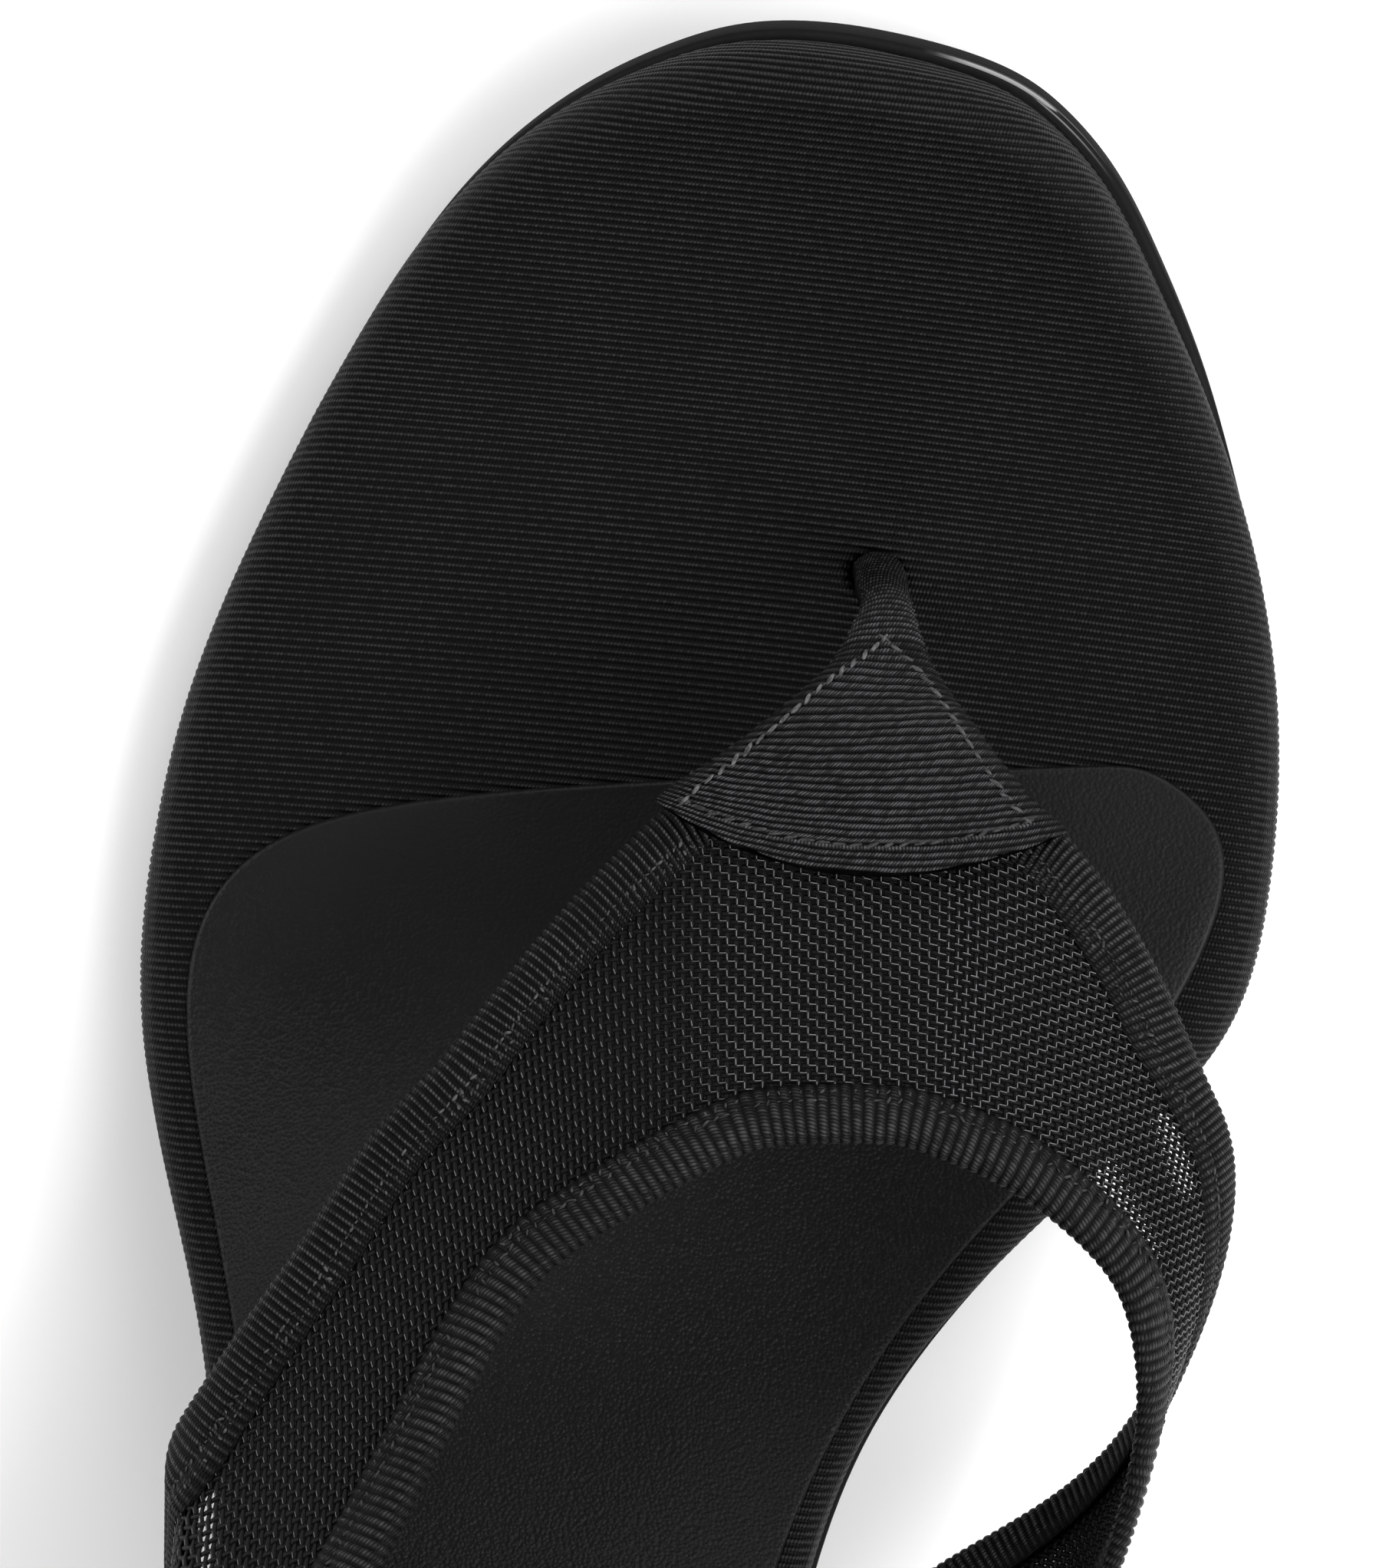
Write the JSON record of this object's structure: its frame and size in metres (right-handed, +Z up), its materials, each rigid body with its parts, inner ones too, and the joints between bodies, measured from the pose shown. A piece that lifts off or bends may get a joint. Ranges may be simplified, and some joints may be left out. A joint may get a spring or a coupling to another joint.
{
  "type": "heeled toe post sandal",
  "caption": "Left toe post sandal on a kitten heel: ribbed padded footbed, leather sock, mesh V strap with folded tape edges and a triangular toe tab.",
  "frame": {"origin": "on the floor, at the middle of the shoe's length and width", "axes": "+Y from heel to toe, +X towards the big-toe side, +Z up from the floor"},
  "size_m": [0.0852, 0.2377, 0.0591],
  "materials": {
    "smooth_sole": "smooth, polished edge",
    "ribbed_fabric": "ribbed ribbon weave",
    "sock_leather": "matt, fine grain",
    "heel_cover": "ribbed ribbon weave",
    "heel_rubber": "matt",
    "mesh_cloth": "open woven mesh",
    "ribbed_tape": "ribbed ribbon weave",
    "tab_tape": "ribbed ribbon weave, topstitched"
  },
  "bodies": {
    "root": {"outsole": "smooth_sole", "footbed": "ribbed_fabric", "insole_sock": "sock_leather", "heel": "heel_cover", "heel_top_piece": "heel_rubber", "strap_upper": "mesh_cloth", "binding_front_medial": "ribbed_tape", "binding_front_lateral": "ribbed_tape", "binding_rear": "ribbed_tape", "toe_post_tab": "tab_tape"}
  },
  "joints": []
}
